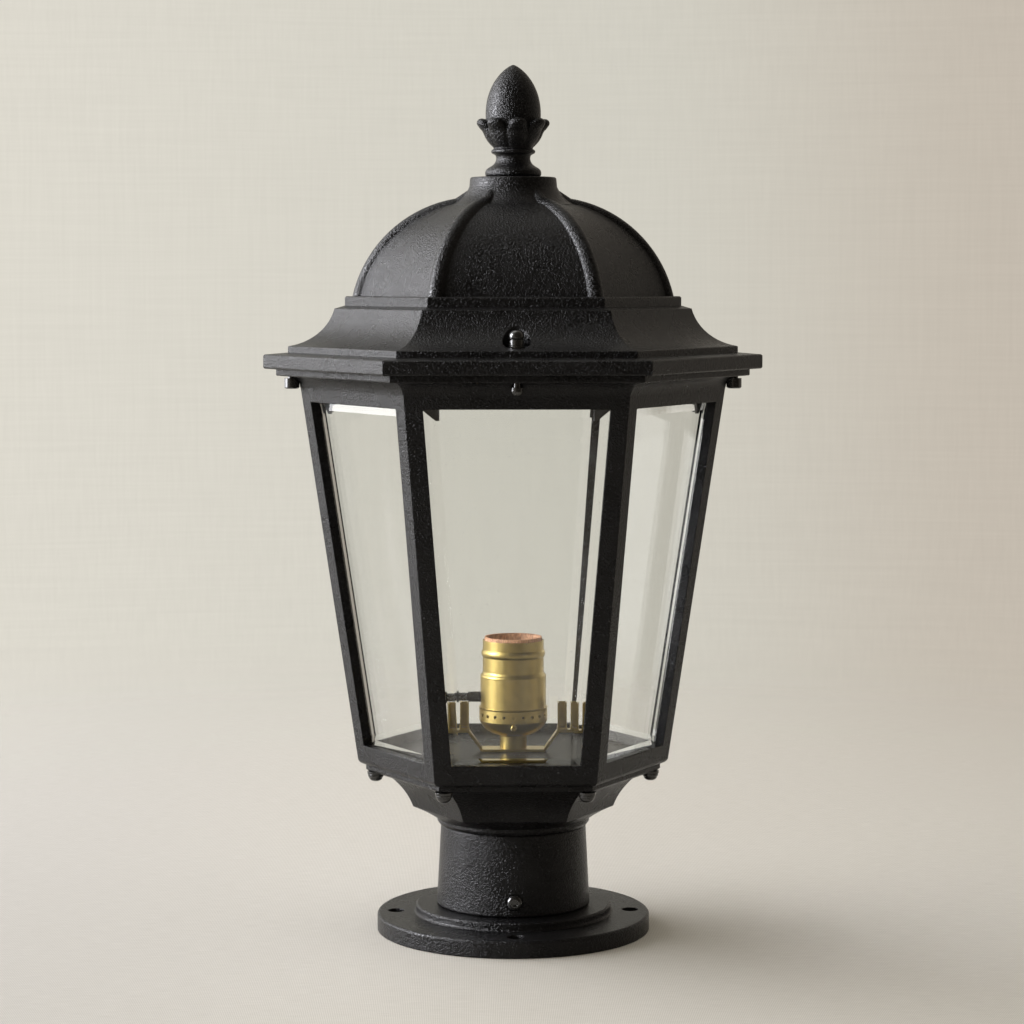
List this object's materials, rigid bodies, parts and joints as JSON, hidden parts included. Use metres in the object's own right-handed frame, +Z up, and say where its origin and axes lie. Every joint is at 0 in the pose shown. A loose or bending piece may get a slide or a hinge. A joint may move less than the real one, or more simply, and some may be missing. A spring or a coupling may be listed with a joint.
{
  "type": "hexagonal pier-mount lantern",
  "caption": "Black cast hexagonal lantern with a ribbed dome roof, acorn finial, clear bevelled panes, a brass turn-knob lamp holder, a post fitter and a round pier flange.",
  "frame": {"origin": "on the lantern's axis, at the underside of the pier flange", "axes": "+Z up along the lantern's axis, -Y out of the front face, X through two opposite corners"},
  "size_m": [0.2624, 0.2272, 0.4551],
  "materials": {
    "powder_coat": "fine-textured matt black powder coat on cast aluminium",
    "socket_brass": "satin brass",
    "plated_steel": "zinc-plated steel",
    "black_oxide": "glossy black fasteners",
    "clear_glass": "clear float glass with bevelled edges",
    "clip_steel": "dark painted sheet steel",
    "gloss_black": "gloss black",
    "brown_liner": "brown insulating paper",
    "insulator": "moulded phenolic",
    "black_plastic": "black moulded plastic",
    "green_screw": "green-dyed steel"
  },
  "bodies": {
    "lantern": {"pier_flange": "powder_coat", "post_fitter": "powder_coat", "fitter_set_screws": "black_oxide", "fitter_screws": "plated_steel", "base_pan": "powder_coat", "pan_studs": "plated_steel", "pan_cap_nuts": "black_oxide", "ground_screw": "green_screw", "cage_frame": "powder_coat", "clip_screws": "plated_steel", "floor_plate": "gloss_black", "floor_plate_screws": "plated_steel", "roof_dome": "powder_coat", "roof_studs": "plated_steel", "roof_nut_washers": "black_oxide", "roof_acorn_nuts": "black_oxide", "roof_cove_screws": "black_oxide", "roof_corner_screws": "black_oxide", "finial": "powder_coat", "finial_stud": "plated_steel", "finial_washer": "plated_steel", "finial_nut": "plated_steel", "socket_nipple": "plated_steel", "nipple_washer": "plated_steel", "nipple_nut": "plated_steel", "prong_saddle": "socket_brass", "socket_cap": "socket_brass", "cap_screw": "socket_brass", "socket_interior": "insulator", "terminal_screws": "socket_brass", "screw_shell": "socket_brass", "centre_contact": "socket_brass", "socket_liner": "brown_liner", "socket_shell": "socket_brass", "switch_bushing": "black_plastic", "glass_pane_1": "clear_glass", "glass_pane_2": "clear_glass", "glass_pane_3": "clear_glass", "glass_pane_4": "clear_glass", "glass_pane_5": "clear_glass", "glass_pane_6": "clear_glass", "glass_clip_1": "clip_steel", "glass_clip_2": "clip_steel", "glass_clip_3": "clip_steel", "glass_clip_4": "clip_steel", "glass_clip_5": "clip_steel", "glass_clip_6": "clip_steel"},
    "switch_key": {"switch_knob": "black_plastic"}
  },
  "joints": [
    {"name": "switch_turn", "type": "hinge", "parent": "lantern", "child": "switch_key", "pos_m": [-0.03, 0, 0.1231], "axis": [-1, 0, 0], "continuous": true}
  ]
}
